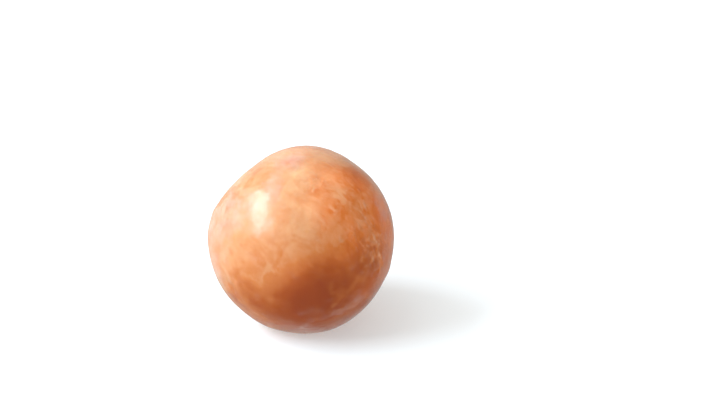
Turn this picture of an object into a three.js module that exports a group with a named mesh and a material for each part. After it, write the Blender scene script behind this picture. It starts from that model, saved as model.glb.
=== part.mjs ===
// A glazed doughnut hole: one ball of fried dough, a little uneven all round, that rests on a small flat foot.
// Millimetres, +Z up, origin in the middle of the foot. The front, where the crust is darkest, faces -Y.

import * as THREE from "three";
import { mergeVertices } from "three/addons/utils/BufferGeometryUtils.js";

const DIAMETER = 40; // of the round that the ball departs from
const FOOT_DEPTH = 1.5; // how much the foot takes off the underside
const FOOT_BLEND = 0.8; // height over which the foot's edge rounds up into the side
const EDGE_CUTS = 21; // cuts in each edge of the icosahedron that the ball starts from

// Broad lumps and flats. Degrees round from +X, degrees above the ball's middle, millimetres out, degrees across.
const BROAD_LUMPS = [
  { round: 154, above: 43, out: -0.95, across: 22 }, // the flat where it lay against another in the fryer
  { round: 78, above: 60, out: 0.55, across: 24 },
  { round: 180, above: 4, out: 0.55, across: 18 },
  { round: 195, above: -29, out: 0.2, across: 14 },
  { round: -134, above: -57, out: 0.25, across: 14 },
  { round: -50, above: -58, out: 0.45, across: 20 },
  { round: -6, above: -22, out: -0.3, across: 26 },
  { round: 12, above: 24, out: 0.1, across: 24 },
  { round: -118, above: 28, out: 0.2, across: 34 },
  { round: -76, above: 4, out: 0.25, across: 30 },
  { round: 92, above: -14, out: -0.45, across: 30 }, // a slack flat on the back
  { round: 44, above: -34, out: 0.3, across: 22 },
  { round: 132, above: -30, out: 0.35, across: 24 },
];

// Low blisters and dimples that frying leaves, spread evenly and then nudged by a seeded draw.
const BLISTERS = 84;
const BLISTER_SEED = 2027;
const BLISTER_OUT = { least: -0.13, most: 0.17 }; // millimetres
const BLISTER_ACROSS = { least: 4.5, most: 9.5 }; // degrees
const BLISTER_NUDGE = 0.16; // as a share of the radius

const RADIUS = DIAMETER / 2;
const GOLDEN_TURN = Math.PI * (3 - Math.sqrt(5));
const SAME_POINT = 1e-4; // on a sphere of radius 1, corners closer than this are one

// The minimal standard random generator: each whole number gives the next, up to a prime.
const RANDOM_FACTOR = 16807;
const RANDOM_PRIME = 2147483647;

function makeRandom(seed) {
  let state = seed;
  return () => {
    state = (state * RANDOM_FACTOR) % RANDOM_PRIME;
    return state / RANDOM_PRIME;
  };
}

function between(range, share) {
  return range.least + (range.most - range.least) * share;
}

function direction(roundDegrees, aboveDegrees) {
  const polar = THREE.MathUtils.degToRad(90 - aboveDegrees);
  const azimuth = THREE.MathUtils.degToRad(roundDegrees);
  return new THREE.Vector3(
    Math.sin(polar) * Math.cos(azimuth),
    Math.sin(polar) * Math.sin(azimuth),
    Math.cos(polar),
  );
}

// A lump fades with the angle from its middle: width is 1 less the cosine of the angle at which 1/e is left.
function lump(middle, out, acrossDegrees) {
  return { middle, out, width: 1 - Math.cos(THREE.MathUtils.degToRad(acrossDegrees)) };
}

function makeBlisters() {
  const random = makeRandom(BLISTER_SEED);
  const blisters = [];
  for (let i = 0; i < BLISTERS; i += 1) {
    const z = 1 - (2 * i + 1) / BLISTERS;
    const ring = Math.sqrt(1 - z * z);
    const turn = i * GOLDEN_TURN;
    const nudge = () => BLISTER_NUDGE * (2 * random() - 1);
    const middle = new THREE.Vector3(
      ring * Math.cos(turn) + nudge(),
      ring * Math.sin(turn) + nudge(),
      z + nudge(),
    ).normalize();
    const out = between(BLISTER_OUT, random());
    const across = between(BLISTER_ACROSS, random());
    blisters.push(lump(middle, out, across));
  }
  return blisters;
}

const lumps = [
  ...BROAD_LUMPS.map((l) => lump(direction(l.round, l.above), l.out, l.across)),
  ...makeBlisters(),
];

function radiusAlong(unit) {
  return lumps.reduce(
    (radius, l) => radius + l.out * Math.exp((unit.dot(l.middle) - 1) / l.width),
    RADIUS,
  );
}

// The higher of z and the table's 0, with the corner between them rounded. It is exactly 0 on the foot.
function restOnTable(z) {
  const share = THREE.MathUtils.clamp(0.5 + (0.5 * z) / FOOT_BLEND, 0, 1);
  return z * share + FOOT_BLEND * share * (1 - share);
}

function makeBall() {
  const sphere = new THREE.IcosahedronGeometry(1, EDGE_CUTS);
  sphere.deleteAttribute("normal");
  sphere.deleteAttribute("uv");
  const ball = mergeVertices(sphere, SAME_POINT);
  const position = ball.getAttribute("position");
  const point = new THREE.Vector3();
  for (let i = 0; i < position.count; i += 1) {
    point.fromBufferAttribute(position, i).normalize();
    point.multiplyScalar(radiusAlong(point));
    point.z = restOnTable(point.z + RADIUS - FOOT_DEPTH);
    position.setXYZ(i, point.x, point.y, point.z);
  }
  ball.computeBoundingBox();
  const middle = ball.boundingBox.getCenter(new THREE.Vector3());
  ball.translate(-middle.x, -middle.y, 0);
  ball.computeVertexNormals();
  return ball;
}

const glazedCrust = new THREE.MeshStandardMaterial({
  color: 0xd8894f,
  roughness: 0.35,
  metalness: 0,
});

const doughnutHole = new THREE.Mesh(makeBall(), glazedCrust);
doughnutHole.name = "doughnut_hole";

const part = new THREE.Group();
part.add(doughnutHole);

export default part;
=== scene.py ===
import functools
import math

import bmesh
import bpy
import numpy as np
from bpy.props import FloatProperty, FloatVectorProperty, IntProperty, PointerProperty
from mathutils import Matrix, Vector, noise


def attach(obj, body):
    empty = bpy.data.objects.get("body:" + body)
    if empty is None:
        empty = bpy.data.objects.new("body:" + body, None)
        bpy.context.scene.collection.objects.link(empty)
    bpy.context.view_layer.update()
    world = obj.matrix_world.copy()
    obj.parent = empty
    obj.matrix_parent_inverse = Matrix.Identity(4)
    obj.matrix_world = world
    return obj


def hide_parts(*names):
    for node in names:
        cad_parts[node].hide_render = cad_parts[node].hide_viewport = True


# A glazed doughnut hole: a ball of browned dough under a thin film of sugar glaze, on a pale table.
# Metres, +Z up. The side that the camera looks at faces -Y. In the tables, round is in degrees round
# from +X, and above is in degrees above the ball's middle.

bl_info = {
    "name": "Glazed Doughnut Hole",
    "version": (1, 0, 0),
    "blender": (4, 5, 0),
    "location": "3D View > Sidebar > Doughnut Hole",
    "description": "Makes a glazed doughnut hole: its fried crust, its sugar glaze and a stage",
    "category": "Add Mesh",
}

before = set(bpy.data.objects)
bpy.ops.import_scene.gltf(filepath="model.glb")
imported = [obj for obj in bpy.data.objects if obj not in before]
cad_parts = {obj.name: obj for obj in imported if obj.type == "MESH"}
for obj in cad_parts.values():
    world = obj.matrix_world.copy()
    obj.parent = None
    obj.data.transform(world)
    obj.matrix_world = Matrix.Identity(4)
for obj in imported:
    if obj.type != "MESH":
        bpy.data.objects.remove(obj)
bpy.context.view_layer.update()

BODY = "root"
NODE = "doughnut_hole"
MM = 0.001

# The solid's own form, in millimetres.
RADIUS = 20.0
FOOT_DEPTH = 1.5
FOOT_BLEND = 0.8

# How many directions the solid's box is measured along.
BOX_DIRECTIONS = 40000

# Broad lumps and flats: round, above, millimetres out, degrees across.
BROAD_LUMPS = (
    (154, 43, -0.95, 22),
    (78, 60, 0.55, 24),
    (180, 4, 0.55, 18),
    (195, -29, 0.2, 14),
    (-134, -57, 0.25, 14),
    (-50, -58, 0.45, 20),
    (-6, -22, -0.3, 26),
    (12, 24, 0.1, 24),
    (-118, 28, 0.2, 34),
    (-76, 4, 0.25, 30),
    (92, -14, -0.45, 30),
    (44, -34, 0.3, 22),
    (132, -30, 0.35, 24),
)

# Frying blisters and dimples: how many, millimetres out, degrees across, and how far each is nudged.
BLISTERS = 84
BLISTER_SEED = 2027
BLISTER_OUT = (-0.13, 0.17)
BLISTER_ACROSS = (4.5, 9.5)
BLISTER_NUDGE = 0.16

# Where the crust is darker than its middling tone, and where paler: round, above, amount, degrees
# across. The darkening is browner crust, and towards the underside it is partly painted shade.
BROWNING_AND_SHADE = (
    # The underside, browner and partly painted shade, and the dark patch low in front with the band
    # above it.
    (-88, -40, 0.4, 40),
    (-40, -20, 0.55, 30),
    (-81, -15, 1.6, 15),
    (-94, -18, 0.3, 8),
    (-86, -38, 0.3, 14),
    (-68, 3, 0.5, 10),
    (-84, 6, 0.2, 8),
    (-62, 10, 0.1, 9),
    (-51, -9, 0.25, 8),
    (-50, 11, 0.25, 8),
    # Smaller patches to the left of it.
    (-104, -27, 0.4, 9),
    (-98, 8, 0.05, 8),
    (-117, -22, 0.25, 8),
    (-128, -13, 0.15, 8),
    (-128, 4, 0.05, 10),
    (-140, -24, 0.25, 8),
    (-100, -45, 0.1, 9),
    (-102, -6, 0.15, 5),
    # The well fried right, and slight changes elsewhere.
    (0, 5, 0.35, 26),
    (-8, 55, 0.2, 11),
    (-163, 28, 0.1, 20),
    (-36, -3, -0.2, 8),
    (-80, 44, -0.1, 8),
    (-125, 82, 0.1, 8),
    (-92, 69, -0.1, 9),
    (-47, 48, -0.1, 6),
    (-37, 14, 0.15, 6),
    (-100, -6, -0.1, 7),
    (-43, 58, -0.05, 10),
    (-140, 25, -0.05, 10),
    (-168, 62, 0.1, 8),
    # The side that the photograph doesn't show.
    (52, 34, -0.05, 24),
    (96, -6, 0.35, 22),
    (128, 20, -0.1, 18),
    (40, 0, 0.2, 16),
    (150, -36, 0.4, 18),
    (90, -50, 0.5, 34),
)

# The crust's browning where no patch changes it.
MIDDLING = 0.38

# Where the crust is ruddier than its browning makes it. On the right, the side away from the lights,
# this is partly painted warm shade. Round, above, amount, degrees across.
RUDDY_AND_WARM_SHADE = (
    (-18, 28, 1.0, 22),
    (-24, 53, 0.5, 14),
    (-44, 64, 0.5, 12),
    (-15, -5, 0.5, 20),
    (-60, 15, 0.4, 14),
    (-45, -15, 0.3, 14),
    (-70, 45, 0.55, 14),
    (-90, 5, 0.15, 14),
    (-50, 30, 0.35, 12),
    # The side that the photograph doesn't show.
    (60, 25, 0.6, 30),
    (110, 50, 0.45, 30),
    (120, 0, 0.3, 26),
    (170, 20, 0.25, 24),
)

# The share of the ruddy tone where the crust is ruddiest.
MOST_RUDDY = 0.6

# Where the crust's tone changes most from place to place: round, above, how much more, degrees across.
MOTTLED = (
    (-40, 45, 1.0, 20),
    (-30, 5, 1.0, 22),
    (-74, -16, 0.9, 18),
    (-75, 66, 0.2, 10),
    (-135, -25, 0.2, 14),
    # The side that the photograph doesn't show.
    (50, 10, 0.8, 26),
    (115, -10, 0.8, 26),
    (165, 35, 0.6, 22),
)

# The way that the dough was drawn out, which the flakes of its crust lie along, and how much longer
# that makes them.
FLAKES_ALONG = (0.7, -0.3, -0.65)
FLAKES_LONGER = 1.6

# The patches that the crust's tone changes in: millimetres across, the noise's detail and distortion,
# the noise at which a patch begins and is full, its amount in even places and in mottled ones, and
# whether it is a flake.
CRUST_PATCHES = (
    (5, 3, 0.8, (0.42, 0.58), (0.04, 0.14), False),
    (2.2, 2, 0, (0.4, 0.6), (0.02, 0.02), False),
    (2.6, 2.5, 0.5, (0.46, 0.54), (0.012, 0.11), True),
    (1.3, 2, 0.5, (0.45, 0.55), (0.005, 0.06), True),
)

# The browning and painted shade over which the patches' contrast grows, and the contrast below it
# and above it.
CONTRAST_GROWS = (0.4, 1.8)
CONTRAST = (1, 7)

# The browning and painted shade at which the crust has each of its tones, from the palest to the
# darkest.
TONES_AT = (0, 0.25, 0.5, 0.78, 1.1, 2)

# The crust's finest relief, which is in its material alone: millimetres across and millimetres high.
GRAIN_ACROSS = 0.35
GRAIN_HIGH = 0.008
PORES_ACROSS = 1.1
PORES_HIGH = 0.05

# Where the glaze set milky, and three spots where its milk paints a glow about the window's
# highlight: round, above, how milky, degrees across.
HAZE_AND_GLOW = (
    (-135, 84, 0.75, 13),
    (-160, 24, 0.95, 18),
    (-165, -8, 1.0, 12),
    # These three paint a glow about the window's highlight.
    (-146, 32, 0.45, 11),
    (-124, 56, 0.75, 9),
    (-122, 26, 0.3, 11),
    (-28, 8, 0.35, 12),
    (-15, 25, 0.55, 12),
    (-54, -21, 0.45, 10),
    (-78, -52, 0.8, 14),
    (-108, -39, 0.2, 10),
    # The side that the photograph doesn't show.
    (60, 50, 0.5, 18),
    (100, 10, 0.3, 14),
    (140, -10, 0.4, 16),
    (60, -20, 0.3, 14),
)

# Where the glaze wrinkled as it set: round, above, how strongly, degrees across.
WRINKLED = (
    (-36, 6, 0.9, 15),
    (-48, 26, 0.5, 12),
    (-140, -14, 0.7, 12),
    (-118, -34, 0.4, 12),
    (-70, 66, 0.3, 12),
    (-72, 36, 0.3, 9),
    (-62, -22, 0.4, 14),
    # The side that the photograph doesn't show.
    (30, 12, 0.55, 16),
    (80, 34, 0.6, 14),
    (120, -20, 0.5, 16),
    (168, 10, 0.35, 12),
    (70, -20, 0.4, 14),
)

# The streaks in the milky glaze: millimetres across, the noise they begin and are full at, and the
# share of the haze and painted glow between them and in them.
STREAKS_ACROSS = 2.4
STREAKS_BETWEEN = (0.35, 0.65)
STREAKS = (0.6, 1.05)

# How much of the crust the glaze hides where it is clear, how much more where it is milky and where
# it paints the glow about the highlight, and on a ridge or a wrinkle, and the most that it hides
# anywhere.
CLEAR_HIDES = 0.004
MILK_AND_GLOW_HIDES = 0.25
RAISED_HIDES = 0.12
MOST_HIDDEN = 0.8

# Short ridges of sugar in the glaze, each between two directions: round, above, round, above,
# millimetres wide.
RIDGES = (
    (-50, 20, -45, 11, 0.34),
    (-46, 16, -42, 14, 0.28),
    (-39, 11, -38, 7, 0.3),
    (-36, 9, -32, 1, 0.34),
    (-38, 22, -33, 12, 0.3),
    (-31, 40, -33, 37, 0.4),
    (-64, 45, -60, 40, 0.42),
    (-76, 40, -72, 34, 0.5),
    (-81, 27, -79, 24, 0.5),
    (-64, 25, -61, 22, 0.4),
    (-19, 76, -22, 67, 0.45),
    (-59, 5, -55, 5, 0.55),
    (-49, 5, -45, 2, 0.45),
    (-53, 0, -49, 1, 0.45),
    (-145, 1, -144, -10, 0.34),
    (-141, -14, -140, -21, 0.4),
    (-132, 18, -129, 16, 0.4),
    (-127, 13, -119, 15, 0.34),
    (-97, 7, -92, 2, 0.4),
    (-93, -24, -88, -24, 0.34),
)

# More ridges, strewn over the ball: how many, how far each is nudged, and the least and most length and
# width in millimetres.
LOOSE_RIDGES = 40
RIDGE_SEED = 311
RIDGE_NUDGE = 0.15
RIDGE_LONG = (0.7, 2.4)
RIDGE_WIDE = (0.28, 0.46)

# How high a ridge's ends are beside its middle, and how strong a ridge in an even place is beside a
# mottled one.
RIDGE_ENDS = 0.35
RIDGE_EVEN = 0.3

# How much paler the crust is under a ridge in its mottled places, partly the ridge's pale sugar and
# partly painted light on its crest, how much painted shade darkens it beside the ridge, and how many
# ridges wide that is.
RIDGES_PALER = 0.7
PAINTED_SHADE_BESIDE = 0.3
BESIDE_WIDER = 2.4

# The noise that makes edges waver: what it is drawn from, then pairs of how wide its humps are and how
# far it pushes, in millimetres.
WAVER_SEED = 5
PATCHES_WAVER = ((7, 1.4), (2.6, 0.6), (1.2, 0.3))
RIDGES_WAVER = (1.6, 0.45)
WRINKLES_WAVER = (3.2, 1.3)

# The lines of the wrinkles: millimetres apart, how they are squeezed along each axis to run upright,
# half a line's width in the noise that draws it, and how pointed it is.
WRINKLES_APART = 1.4
WRINKLES_SQUEEZED = (1, 1, 0.5)
WRINKLE_HALF_WIDTH = 0.3
WRINKLE_POINTED = 1.5

# The dimples of the fried skin: millimetres across with the share of the height that each size has, and
# how high the skin is where the glaze didn't wrinkle beside where it did.
SKIN_DIMPLES = ((3.2, 0.6), (1.5, 0.4))
SKIN_EVEN = 0.2

# The noise that breaks up the wrinkled places and the milky ones with their painted glow:
# millimetres across and how strong. Such a place fades in between two totals of its spots and its
# noise.
WRINKLED_NOISE_ACROSS = 6
WRINKLED_NOISE = 0.4
WRINKLED_BETWEEN = (0.2, 0.8)
HAZE_NOISE_ACROSS = 5
HAZE_NOISE_OCTAVES = 3
HAZE_NOISE = 0.35
HAZE_BETWEEN = (0.1, 0.75)

# How much of the glaze's thickness lies between the crust's foot and the table.
GLAZE_UNDER_FOOT = 0.5

# How fast the octaves of a noise fade, and how many times finer each is than the one before.
OCTAVES_FADE = 1.0
OCTAVES_FINER = 2.0

RANDOM_FACTOR = 16807
RANDOM_PRIME = 2147483647
GOLDEN_TURN = math.pi * (3 - math.sqrt(5))

# The photograph's frame and where the ball stands in it, in pixels.
PHOTO_WIDTH = 720
PHOTO_HEIGHT = 400
BALL_ACROSS = 186.6
BALL_RIGHT = 302.4
BALL_DOWN = 240.0

# Where each light stands as seen from the ball, and which way its long side runs. Its distance and its
# sides are in metres.
WINDOW_TOWARDS = (-0.741, -0.13, 0.659)
WINDOW_ALONG = (0.137, 0.686, 0.21)
WINDOW_DISTANCE = 0.9
WINDOW_SIZE = (0.8, 0.36)
WINDOW_COLOUR = (0.9, 0.99, 1.08)
CEILING_TOWARDS = (-0.5, -0.12, 0.86)
CEILING_ALONG = (0, 1, 0)
CEILING_DISTANCE = 1.3
CEILING_SIZE = (1.1, 1.1)
CEILING_COLOUR = (1, 1, 1)

# The walls' brightness, from the side away from the brightest place to that place. What the glaze
# mirrors falls off to a darker side than what lights the crust, and grows towards the wall behind the
# ball. The camera sees plain white walls.
BRIGHTEST_TOWARDS = (-0.62, -0.13, 0.78)
WALL_SPREAD = (-0.3, 0.95)
WALL_LIGHT = (0.42, 0.75)
WALL_MIRRORED = (0.15, 0.74)
BEHIND_TOWARDS = (0, 0.906, -0.423)
BEHIND_SPREAD = (0.2, 1)
BEHIND_MIRRORED = (1, 3.9)
WALL_COLOUR = (1, 0.97, 0.93, 1)
WALL_SEEN = 1.0

# The table reaches this many metres from the ball each way, and glows a little, as a white sweep does.
TABLE_REACH = 3
TABLE_COLOUR = (0.6, 0.655, 0.68, 1)
TABLE_GLOW = 0.41


def random_numbers(seed):
    """Numbers from 0 to 1, by the minimal standard generator, with which the solid's blisters are drawn."""
    state = seed
    while True:
        state = state * RANDOM_FACTOR % RANDOM_PRIME
        yield state / RANDOM_PRIME


def between(least_and_most, share):
    least, most = least_and_most
    return least + (most - least) * share


def direction(round_degrees, above_degrees):
    turn = math.radians(round_degrees)
    above = math.radians(above_degrees)
    return Vector((math.cos(above) * math.cos(turn), math.cos(above) * math.sin(turn), math.sin(above)))


def evenly_spread(count):
    """Directions spread evenly over a ball, from the top down in a spiral."""
    for i in range(count):
        z = 1 - (2 * i + 1) / count
        ring = math.sqrt(1 - z * z)
        turn = i * GOLDEN_TURN
        yield Vector((ring * math.cos(turn), ring * math.sin(turn), z))


def colour(code):
    """A scene-linear colour from its hex code."""
    shares = [int(code[i : i + 2], 16) / 255 for i in (1, 3, 5)]
    return tuple(s / 12.92 if s <= 0.04045 else ((s + 0.055) / 1.055) ** 2.4 for s in shares)


class Spots:
    """Round spots on a ball: each has a middle, an amount, and the degrees at which it has faded to 1/e."""

    def __init__(self, middles, amounts, across):
        self.middles = np.array([Vector(middle).normalized() for middle in middles])
        self.amounts = np.array(amounts)
        self.widths = 1 - np.cos(np.radians(across))

    def total(self, units):
        return np.exp((units @ self.middles.T - 1) / self.widths) @ self.amounts


def placed_spots(rows):
    turns, aboves, amounts, across = zip(*rows)
    return Spots([direction(*way) for way in zip(turns, aboves)], amounts, across)


def blister_spots():
    draw = random_numbers(BLISTER_SEED)
    middles, outs, across = [], [], []
    for even in evenly_spread(BLISTERS):
        middles.append([c + BLISTER_NUDGE * (2 * next(draw) - 1) for c in even])
        outs.append(between(BLISTER_OUT, next(draw)))
        across.append(between(BLISTER_ACROSS, next(draw)))
    return Spots(middles, outs, across)


def form_radius(units):
    """The solid's radius along each direction, in millimetres."""
    return RADIUS + placed_spots(BROAD_LUMPS).total(units) + blister_spots().total(units)


def rest_on(height, z):
    """The higher of z and height, with the corner between them rounded, as the solid's foot has it."""
    share = np.clip(0.5 + 0.5 * (z - height) / FOOT_BLEND, 0, 1)
    return height + (z - height) * share + FOOT_BLEND * share * (1 - share)


def noise_on(units, size, octaves=1):
    """Smooth noise from about -1 to 1 whose humps are about size millimetres across on the ball."""
    places = (units * (RADIUS / size)).tolist()
    if octaves == 1:
        return np.array([noise.noise(place) for place in places])
    return np.array([noise.fractal(place, OCTAVES_FADE, OCTAVES_FINER, octaves) for place in places])


def warped(units, size, amount):
    """The same directions pushed about by noise, so that what is placed by them gets a wavering edge."""
    places = (units * (RADIUS / size)).tolist()
    moved = units + amount / RADIUS * np.array([noise.noise_vector(place) for place in places])
    return moved / np.linalg.norm(moved, axis=1)[:, None]


def eased(values, low, high):
    """0 below low, 1 above high, and a smooth step between."""
    share = np.clip((values - low) / (high - low), 0, 1)
    return share * share * (3 - 2 * share)


def crests(values, half_width):
    """1 where the values cross 0, falling to 0 at half_width on either side: noise turned into lines."""
    return np.clip(1 - np.abs(values) / half_width, 0, 1) ** WRINKLE_POINTED


def all_ridges():
    """The two ends and the width of each ridge: the placed ones, then those strewn over the ball."""
    for turn, above, end_turn, end_above, wide in RIDGES:
        yield direction(turn, above), direction(end_turn, end_above), wide
    draw = random_numbers(RIDGE_SEED)
    for even in evenly_spread(LOOSE_RIDGES):
        start, way = (Vector([2 * next(draw) - 1 for _ in range(3)]) for _ in range(2))
        start = (even + RIDGE_NUDGE * start).normalized()
        long = between(RIDGE_LONG, next(draw))
        yield start, start + long / RADIUS * way.normalized(), between(RIDGE_WIDE, next(draw))


def ridge_field(units, wider=1):
    """How near each direction is to the crest of a ridge, from 0 to 1, fading towards the ridge's ends."""
    field = np.zeros(len(units))
    longest = RIDGE_LONG[1] / RADIUS
    for start, end, wide in all_ridges():
        near = np.flatnonzero(units @ start > 1 - longest**2)
        way = np.array(end - start)
        along = np.clip((units[near] - start) @ way / (way @ way), 0, 1)
        off = RADIUS * np.linalg.norm(units[near] - start - along[:, None] * way, axis=1)
        fading = RIDGE_ENDS + (1 - RIDGE_ENDS) * np.sin(math.pi * along)
        height = np.exp(-((off / (wide * wider)) ** 2)) * fading
        field[near] = np.maximum(field[near], height)
    return field


@functools.lru_cache(maxsize=1)
def ball_surface(cuts):
    """The ball's directions, its form's radius in millimetres, and its other fields, each by name."""
    mesh = to_mesh(ball_of_squares(cuts), "directions")
    units = read_points(mesh)
    bpy.data.meshes.remove(mesh)

    noise.seed_set(WAVER_SEED)
    wavering = units
    for size, amount in PATCHES_WAVER:
        wavering = warped(wavering, size, amount)
    upright = warped(units, *WRINKLES_WAVER) * WRINKLES_SQUEEZED
    ridged = warped(units, *RIDGES_WAVER)

    mottled = np.clip(placed_spots(MOTTLED).total(wavering), 0, 1)
    wrinkled_noise = WRINKLED_NOISE * noise_on(units, WRINKLED_NOISE_ACROSS)
    wrinkled = eased(placed_spots(WRINKLED).total(wavering) + wrinkled_noise, *WRINKLED_BETWEEN)
    haze_noise = HAZE_NOISE * noise_on(units, HAZE_NOISE_ACROSS, HAZE_NOISE_OCTAVES)
    # Milky glaze, with the painted glow about the window's highlight.
    haze_and_glow = eased(placed_spots(HAZE_AND_GLOW).total(wavering) + haze_noise, *HAZE_BETWEEN)
    dimples = sum(share * noise_on(units, size) for size, share in SKIN_DIMPLES)
    ridge = ridge_field(ridged)
    # Painted light on the ridges' crests and painted shade beside them, put into the crust's tone.
    ridge_crest_and_shade = PAINTED_SHADE_BESIDE * ridge_field(ridged, BESIDE_WIDER) - RIDGES_PALER * ridge
    return {
        "units": units,
        "form": form_radius(units),
        "skin": (SKIN_EVEN + (1 - SKIN_EVEN) * wrinkled) * dimples,
        "wrinkle": wrinkled * crests(noise_on(upright, WRINKLES_APART), WRINKLE_HALF_WIDTH),
        "ridge": ridge * (RIDGE_EVEN + (1 - RIDGE_EVEN) * mottled),
        # The crust's tone: browner crust, with painted shade on the underside and beside the ridges.
        "browning_and_shade": MIDDLING + placed_spots(BROWNING_AND_SHADE).total(wavering) + mottled * ridge_crest_and_shade,
        # Ruddier crust, partly painted warm shade on the right, the side away from the lights.
        "ruddy_and_warm_shade": MOST_RUDDY * np.clip(placed_spots(RUDDY_AND_WARM_SHADE).total(wavering), 0, 1),
        "mottled": mottled,
        "haze_and_glow": haze_and_glow,
    }


def ball_of_squares(cuts):
    """A bmesh ball of radius 1 with nearly even squares, from a cube whose sides are cut into grids."""
    ball = bmesh.new()
    bmesh.ops.create_cube(ball, size=2)
    bmesh.ops.subdivide_edges(ball, edges=ball.edges[:], cuts=cuts, use_grid_fill=True)
    for vertex in ball.verts:
        vertex.co = Vector([math.tan(c * math.pi / 4) for c in vertex.co]).normalized()
    return ball


def to_mesh(shape, name):
    mesh = bpy.data.meshes.new(name)
    shape.to_mesh(mesh)
    shape.free()
    return mesh


def read_points(mesh):
    points = np.zeros(len(mesh.vertices) * 3)
    mesh.vertices.foreach_get("co", points)
    return points.reshape(-1, 3)


def write_points(mesh, millimetres):
    """Writes the points, moved along X and Y so that the middle of the solid's box is over the origin."""
    placed = millimetres + np.array([*BALL_SHIFT, 0])
    mesh.vertices.foreach_set("co", (placed * MM).ravel())
    mesh.update()


def write_field(mesh, name, values):
    field = mesh.attributes.new(name, "FLOAT", "POINT")
    field.data.foreach_set("value", values)


def box_shift():
    """How many millimetres the solid was moved along X and Y to bring its box's middle over the origin."""
    units = np.array(list(evenly_spread(BOX_DIRECTIONS)))
    form = units * form_radius(units)[:, None]
    middle = (form.min(axis=0) + form.max(axis=0)) / 2
    return -middle[:2]


BALL_SHIFT = box_shift()
BALL_MIDDLE = Vector((BALL_SHIFT[0], BALL_SHIFT[1], RADIUS - FOOT_DEPTH)) * MM


class Finish:
    """A material's node tree, with a short call for each kind of node it is made of."""

    def __init__(self, name):
        self.material = bpy.data.materials.new(name)
        self.material.use_nodes = True
        self.tree = self.material.node_tree
        self.tree.nodes.clear()
        self.place = self.node("TexCoord").outputs["Object"]

    def node(self, kind, inputs=None, **settings):
        made = self.tree.nodes.new("ShaderNode" + kind)
        for name, value in settings.items():
            setattr(made, name, value)
        for name, value in (inputs or {}).items():
            if isinstance(value, bpy.types.NodeSocket):
                self.tree.links.new(value, made.inputs[name])
            else:
                made.inputs[name].default_value = value
        return made

    def drawn_out(self, along, times):
        """Places for a pattern that is that many times longer along one way."""
        turn = Vector(along).to_track_quat("X", "Z").to_euler()
        settings = {"Vector": self.place, "Rotation": turn, "Scale": (times, 1, 1)}
        return self.node("Mapping", settings, vector_type="TEXTURE").outputs[0]

    def noise(self, millimetres, detail=2, distortion=0, place=None):
        settings = {
            "Vector": place or self.place,
            "Scale": 1 / (millimetres * MM),
            "Detail": detail,
            "Distortion": distortion,
        }
        return self.node("TexNoise", settings).outputs["Fac"]

    def field(self, name):
        return self.node("Attribute", attribute_name=name).outputs["Fac"]

    def math(self, operation, a, b=0.0):
        return self.node("Math", {0: a, 1: b}, operation=operation).outputs[0]

    def fit(self, value, low_and_high, to=(0, 1), smooth=False):
        """The value's place between a low and a high one, as a value between two others."""
        settings = {"Value": value}
        for name, bound in zip(("From Min", "From Max", "To Min", "To Max"), low_and_high + to):
            settings[name] = bound
        kind = "SMOOTHSTEP" if smooth else "LINEAR"
        return self.node("MapRange", settings, interpolation_type=kind).outputs["Result"]

    def tones(self, value, stops):
        made = self.node("ValToRGB", {"Fac": value})
        while len(made.color_ramp.elements) < len(stops):
            made.color_ramp.elements.new(1)
        for element, (position, tone) in zip(made.color_ramp.elements, stops):
            element.position = position
            element.color = (*tone, 1)
        return made.outputs["Color"]

    def mix(self, share, a, b):
        """A colour between two. The node's sockets 6 and 7 and its output 2 are those for colours."""
        made = self.node("Mix", {0: share, 6: a, 7: b}, data_type="RGBA")
        return made.outputs[2]

    def bump(self, height, millimetres, below=None):
        settings = {"Height": height, "Distance": millimetres * MM}
        if below:
            settings["Normal"] = below
        return self.node("Bump", settings).outputs["Normal"]

    def surface(self, inputs):
        shader = self.node("BsdfPrincipled", inputs)
        self.node("OutputMaterial", {"Surface": shader.outputs[0]})


class CrustSettings(bpy.types.PropertyGroup):
    skin: FloatProperty(
        name="Skin",
        description="Height of the fine blisters and dimples of the fried skin",
        default=0.35 * MM,
        unit="LENGTH",
    )
    palest: FloatVectorProperty(
        name="Palest crust",
        description="Colour of the crust where the oil touched it least",
        default=colour("#e0b394"),
        subtype="COLOR",
    )
    golden: FloatVectorProperty(
        name="Golden crust",
        description="Colour of the lightly fried crust",
        default=colour("#d8ad82"),
        subtype="COLOR",
    )
    fried: FloatVectorProperty(
        name="Fried crust",
        description="Colour of the well fried crust",
        default=colour("#c07138"),
        subtype="COLOR",
    )
    brown: FloatVectorProperty(
        name="Brown crust",
        description="Colour of the crust that fried longest",
        default=colour("#a85218"),
        subtype="COLOR",
    )
    dark: FloatVectorProperty(
        name="Dark crust",
        description="Colour of the dark patches of the crust",
        default=colour("#9c4408"),
        subtype="COLOR",
    )
    darkest: FloatVectorProperty(
        name="Darkest crust",
        description="Colour of the dark patches' middles",
        default=colour("#923900"),
        subtype="COLOR",
    )
    # The ruddy tone, which also paints warm shade on the right, the side away from the lights.
    ruddy: FloatVectorProperty(
        name="Ruddy crust",
        description="Colour that the crust is tinged with where it blushed",
        default=colour("#fe7c10"),
        subtype="COLOR",
    )


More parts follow.
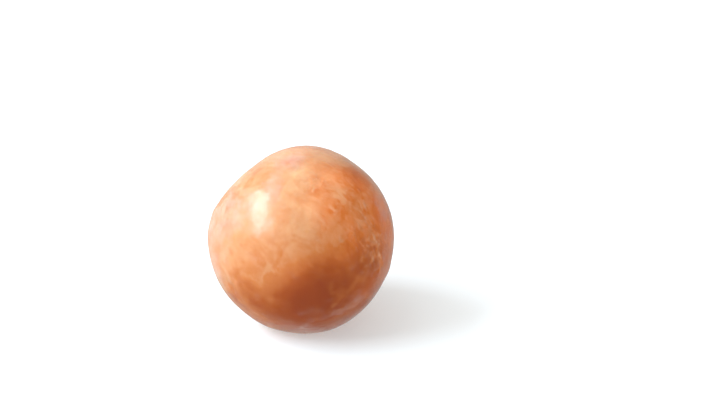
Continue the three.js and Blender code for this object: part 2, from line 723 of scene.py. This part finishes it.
class GlazeSettings(bpy.types.PropertyGroup):
    cuts: IntProperty(
        name="Cuts",
        description="Cuts in each edge of the cube that the ball starts from",
        default=120,
        min=7,
    )
    thickness: FloatProperty(
        name="Thickness",
        description="How thick the glaze lies on the crust",
        default=0.22 * MM,
        unit="LENGTH",
    )
    wrinkle: FloatProperty(
        name="Wrinkle height",
        description="How high the glaze's wrinkles stand",
        default=0.07 * MM,
        unit="LENGTH",
    )
    # The milky colour also paints the glow about the window's highlight.
    milk_and_glow: FloatVectorProperty(
        name="Milky sugar",
        description="Colour of the glaze where its sugar set cloudy",
        default=colour("#f9dccf"),
        subtype="COLOR",
    )
    ridges: FloatVectorProperty(
        name="Sugar ridges",
        description="Colour of the ridges and wrinkles in the glaze",
        default=colour("#f3bb8e"),
        subtype="COLOR",
    )


class StageSettings(bpy.types.PropertyGroup):
    lens: FloatProperty(name="Lens", description="The camera's focal length", default=150, unit="CAMERA")
    camera_above: FloatProperty(
        name="Camera above",
        description="How steeply the camera looks down on the table",
        default=math.radians(25),
        subtype="ANGLE",
    )
    window_power: FloatProperty(
        name="Window light",
        description="Power of the long soft light at the left",
        default=10.3,
        unit="POWER",
    )
    ceiling_power: FloatProperty(
        name="Ceiling light",
        description="Power of the wide light overhead",
        default=5.5,
        unit="POWER",
    )


def add_piece(mesh, material):
    piece = bpy.data.objects.new(mesh.name, mesh)
    bpy.context.scene.collection.objects.link(piece)
    mesh.materials.append(material)
    mesh.shade_smooth()
    return piece


def ball_points(units, radius, height):
    """Points in millimetres at that radius, set down on a table of that height."""
    points = units * radius[:, None]
    points[:, 2] = rest_on(height, points[:, 2] + RADIUS - FOOT_DEPTH)
    return points


def surface_radius(surface, skin, wrinkle):
    """The radius of the ball's outside in millimetres. The heights of skin and wrinkle are in metres."""
    raised = np.maximum(surface["wrinkle"], surface["ridge"])
    return surface["form"] + skin / MM * surface["skin"] + wrinkle / MM * raised


def crust_material(settings):
    finish = Finish("fried crust")
    flakes = finish.drawn_out(FLAKES_ALONG, FLAKES_LONGER)
    # The crust's browning, with painted shade on its underside and beside its ridges.
    browned_and_shaded = finish.field("browning_and_shade")
    mottled = finish.field("mottled")
    contrast = finish.fit(browned_and_shaded, CONTRAST_GROWS, CONTRAST)
    for across, detail, distortion, edge, amounts, is_flake in CRUST_PATCHES:
        place = flakes if is_flake else finish.place
        pattern = finish.noise(across, detail, distortion, place)
        patches = finish.math("SUBTRACT", finish.fit(pattern, edge, smooth=True), 0.5)
        amount = finish.math("MULTIPLY", finish.fit(mottled, (0, 1), amounts), contrast)
        browned_and_shaded = finish.math("ADD", browned_and_shaded, finish.math("MULTIPLY", patches, amount))

    most_browned = TONES_AT[-1]
    tones = (
        settings.palest,
        settings.golden,
        settings.fried,
        settings.brown,
        settings.dark,
        settings.darkest,
    )
    stops = [(browning_and_shade / most_browned, tone) for browning_and_shade, tone in zip(TONES_AT, tones)]
    tone = finish.tones(finish.math("DIVIDE", browned_and_shaded, most_browned), stops)
    # Ruddier crust, and on the right partly painted warm shade.
    tone = finish.mix(finish.field("ruddy_and_warm_shade"), tone, (*settings.ruddy, 1))

    grain = finish.bump(finish.noise(GRAIN_ACROSS), GRAIN_HIGH)
    pores = finish.bump(finish.noise(PORES_ACROSS, detail=3), PORES_HIGH, below=grain)
    finish.surface(
        {
            "Base Color": tone,
            "Roughness": 0.5,
            "Specular IOR Level": 0.1,
            "Coat Weight": 1.0,
            "Coat Roughness": 0.235,
            "Coat IOR": 1.45,
            "Subsurface Weight": 0.25,
            "Subsurface Radius": (1.0, 0.42, 0.18),
            "Subsurface Scale": 1.6 * MM,
            "Normal": pores,
        }
    )
    return finish.material


def make_crust(settings, glaze):
    surface = ball_surface(glaze.cuts)
    mesh = to_mesh(ball_of_squares(glaze.cuts), "crust")
    thickness = glaze.thickness / MM
    radius = surface_radius(surface, settings.skin, glaze.wrinkle) - thickness
    write_points(mesh, ball_points(surface["units"], radius, GLAZE_UNDER_FOOT * thickness))
    for name in ("browning_and_shade", "ruddy_and_warm_shade", "mottled"):
        write_field(mesh, name, surface[name])
    crust = add_piece(mesh, crust_material(settings))
    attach(crust, BODY)
    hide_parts(NODE)


def glaze_material(settings):
    finish = Finish("sugar glaze")
    pattern = finish.noise(STREAKS_ACROSS, distortion=0.4)
    streaks = finish.fit(pattern, STREAKS_BETWEEN, STREAKS, smooth=True)
    # Milky glaze, with the painted glow about the highlight.
    milky_and_glowing = finish.math("MULTIPLY", finish.field("haze_and_glow"), streaks)
    raised = finish.math("MAXIMUM", finish.field("ridge"), finish.field("wrinkle"))
    hidden = finish.math("ADD", finish.math("MULTIPLY", milky_and_glowing, MILK_AND_GLOW_HIDES), CLEAR_HIDES)
    hidden = finish.math("ADD", hidden, finish.math("MULTIPLY", raised, RAISED_HIDES))
    finish.surface(
        {
            "Base Color": finish.mix(raised, (*settings.milk_and_glow, 1), (*settings.ridges, 1)),
            "Roughness": 0.2,
            "IOR": 1.4,
            "Alpha": finish.math("MINIMUM", hidden, MOST_HIDDEN),
        }
    )
    return finish.material


def make_glaze(settings, skin):
    surface = ball_surface(settings.cuts)
    mesh = to_mesh(ball_of_squares(settings.cuts), "glaze")
    radius = surface_radius(surface, skin, settings.wrinkle)
    write_points(mesh, ball_points(surface["units"], radius, 0))
    for name in ("haze_and_glow", "wrinkle", "ridge"):
        write_field(mesh, name, surface[name])
    glaze = add_piece(mesh, glaze_material(settings))
    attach(glaze, BODY)


def make_floor():
    shape = bmesh.new()
    bmesh.ops.create_grid(shape, x_segments=1, y_segments=1, size=TABLE_REACH)
    finish = Finish("pale table")
    finish.surface(
        {
            "Base Color": TABLE_COLOUR,
            "Roughness": 0.7,
            "Specular IOR Level": 0.2,
            "Emission Color": (1, 1, 1, 1),
            "Emission Strength": TABLE_GLOW,
        }
    )
    table = add_piece(to_mesh(shape, "table"), finish.material)
    table.visible_glossy = False


def make_camera(settings):
    """Frames the ball as the photograph does: as large, and as far from the frame's middle."""
    pixel = 2 * RADIUS * MM / BALL_ACROSS
    data = bpy.data.cameras.new("camera")
    data.lens = settings.lens
    data.clip_start = 0.01
    distance = data.lens / data.sensor_width * PHOTO_WIDTH * pixel
    turn = Matrix.Rotation(math.pi / 2 - settings.camera_above, 4, "X")
    off_middle = Vector((PHOTO_WIDTH / 2 - BALL_RIGHT, BALL_DOWN - PHOTO_HEIGHT / 2, 0)) * pixel
    camera = bpy.data.objects.new("camera", data)
    place = BALL_MIDDLE + turn @ (off_middle + Vector((0, 0, distance)))
    camera.matrix_world = Matrix.Translation(place) @ turn
    bpy.context.scene.collection.objects.link(camera)
    bpy.context.scene.camera = camera


def add_light(name, power, tint, towards, along, distance, size):
    data = bpy.data.lights.new(name, "AREA")
    data.shape = "RECTANGLE"
    data.size, data.size_y = size
    data.energy = power
    data.color = tint
    back = Vector(towards).normalized()
    along = Vector(along)
    along = (along - back * along.dot(back)).normalized()
    turn = Matrix((along, back.cross(along), back)).transposed().to_4x4()
    light = bpy.data.objects.new(name, data)
    light.matrix_world = Matrix.Translation(BALL_MIDDLE + back * distance) @ turn
    bpy.context.scene.collection.objects.link(light)
    return light


def make_lights(settings):
    """A long soft window, mirrored as the ball's highlight, and a wide ceiling light that isn't mirrored."""
    add_light(
        "window",
        settings.window_power,
        WINDOW_COLOUR,
        WINDOW_TOWARDS,
        WINDOW_ALONG,
        WINDOW_DISTANCE,
        WINDOW_SIZE,
    )
    ceiling = add_light(
        "ceiling",
        settings.ceiling_power,
        CEILING_COLOUR,
        CEILING_TOWARDS,
        CEILING_ALONG,
        CEILING_DISTANCE,
        CEILING_SIZE,
    )
    ceiling.visible_glossy = False


def make_surroundings():
    """Pale walls all round, brightest high up at the left, that the camera itself sees as plain white."""
    world = bpy.data.worlds.new("surroundings")
    world.use_nodes = True
    nodes, links = world.node_tree.nodes, world.node_tree.links
    outwards = nodes.new("ShaderNodeTexCoord").outputs["Generated"]
    ray = nodes.new("ShaderNodeLightPath").outputs

    def graded(towards, spread, brightness):
        nearness = nodes.new("ShaderNodeVectorMath")
        nearness.operation = "DOT_PRODUCT"
        nearness.inputs[1].default_value = Vector(towards).normalized()
        links.new(outwards, nearness.inputs[0])
        grade = nodes.new("ShaderNodeMapRange")
        grade.interpolation_type = "SMOOTHSTEP"
        for name, value in zip(("From Min", "From Max", "To Min", "To Max"), spread + brightness):
            grade.inputs[name].default_value = value
        links.new(nearness.outputs["Value"], grade.inputs["Value"])
        return grade.outputs["Result"]

    mirrored = nodes.new("ShaderNodeMath")
    mirrored.operation = "MULTIPLY"
    links.new(graded(BRIGHTEST_TOWARDS, WALL_SPREAD, WALL_MIRRORED), mirrored.inputs[0])
    links.new(graded(BEHIND_TOWARDS, BEHIND_SPREAD, BEHIND_MIRRORED), mirrored.inputs[1])
    strength = nodes.new("ShaderNodeMix")
    links.new(ray["Is Glossy Ray"], strength.inputs["Factor"])
    links.new(graded(BRIGHTEST_TOWARDS, WALL_SPREAD, WALL_LIGHT), strength.inputs["A"])
    links.new(mirrored.outputs[0], strength.inputs["B"])
    lighting = nodes["Background"]
    lighting.inputs["Color"].default_value = WALL_COLOUR
    links.new(strength.outputs["Result"], lighting.inputs["Strength"])
    seen = nodes.new("ShaderNodeBackground")
    seen.inputs["Strength"].default_value = WALL_SEEN
    seen.inputs["Color"].default_value = (1, 1, 1, 1)
    choice = nodes.new("ShaderNodeMixShader")
    links.new(ray["Is Camera Ray"], choice.inputs["Fac"])
    links.new(lighting.outputs[0], choice.inputs[1])
    links.new(seen.outputs[0], choice.inputs[2])
    links.new(choice.outputs[0], nodes["World Output"].inputs["Surface"])
    bpy.context.scene.world = world
    bpy.context.scene.view_settings.view_transform = "Standard"


class DOUGHNUT_OT_crust(bpy.types.Operator):
    """Make the ball of fried dough"""

    bl_idname = "doughnut.crust"
    bl_label = "Fried Crust"

    def execute(self, context):
        scene = context.scene
        make_crust(scene.doughnut_crust, scene.doughnut_glaze)
        return {"FINISHED"}


class DOUGHNUT_OT_glaze(bpy.types.Operator):
    """Make the film of sugar glaze over the crust"""

    bl_idname = "doughnut.glaze"
    bl_label = "Sugar Glaze"

    def execute(self, context):
        scene = context.scene
        make_glaze(scene.doughnut_glaze, scene.doughnut_crust.skin)
        return {"FINISHED"}


class DOUGHNUT_OT_stage(bpy.types.Operator):
    """Make the table, the camera, the window light and the pale surroundings"""

    bl_idname = "doughnut.stage"
    bl_label = "Stage"

    def execute(self, context):
        settings = context.scene.doughnut_stage
        make_floor()
        make_camera(settings)
        make_lights(settings)
        make_surroundings()
        return {"FINISHED"}


class DOUGHNUT_PT_sidebar(bpy.types.Panel):
    bl_label = "Doughnut Hole"
    bl_idname = "DOUGHNUT_PT_sidebar"
    bl_space_type = "VIEW_3D"
    bl_region_type = "UI"
    bl_category = "Doughnut Hole"

    def draw(self, context):
        for operator, settings in (
            (DOUGHNUT_OT_crust, context.scene.doughnut_crust),
            (DOUGHNUT_OT_glaze, context.scene.doughnut_glaze),
            (DOUGHNUT_OT_stage, context.scene.doughnut_stage),
        ):
            box = self.layout.box()
            box.operator(operator.bl_idname)
            for name in settings.__annotations__:
                box.prop(settings, name)


CLASSES = (
    CrustSettings,
    GlazeSettings,
    StageSettings,
    DOUGHNUT_OT_crust,
    DOUGHNUT_OT_glaze,
    DOUGHNUT_OT_stage,
    DOUGHNUT_PT_sidebar,
)


def register():
    for each in CLASSES:
        bpy.utils.register_class(each)
    bpy.types.Scene.doughnut_crust = PointerProperty(type=CrustSettings)
    bpy.types.Scene.doughnut_glaze = PointerProperty(type=GlazeSettings)
    bpy.types.Scene.doughnut_stage = PointerProperty(type=StageSettings)


def unregister():
    del bpy.types.Scene.doughnut_stage
    del bpy.types.Scene.doughnut_glaze
    del bpy.types.Scene.doughnut_crust
    for each in reversed(CLASSES):
        bpy.utils.unregister_class(each)


def main():
    register()
    bpy.ops.doughnut.crust()
    bpy.ops.doughnut.glaze()
    bpy.ops.doughnut.stage()


if __name__ == "__main__":
    main()
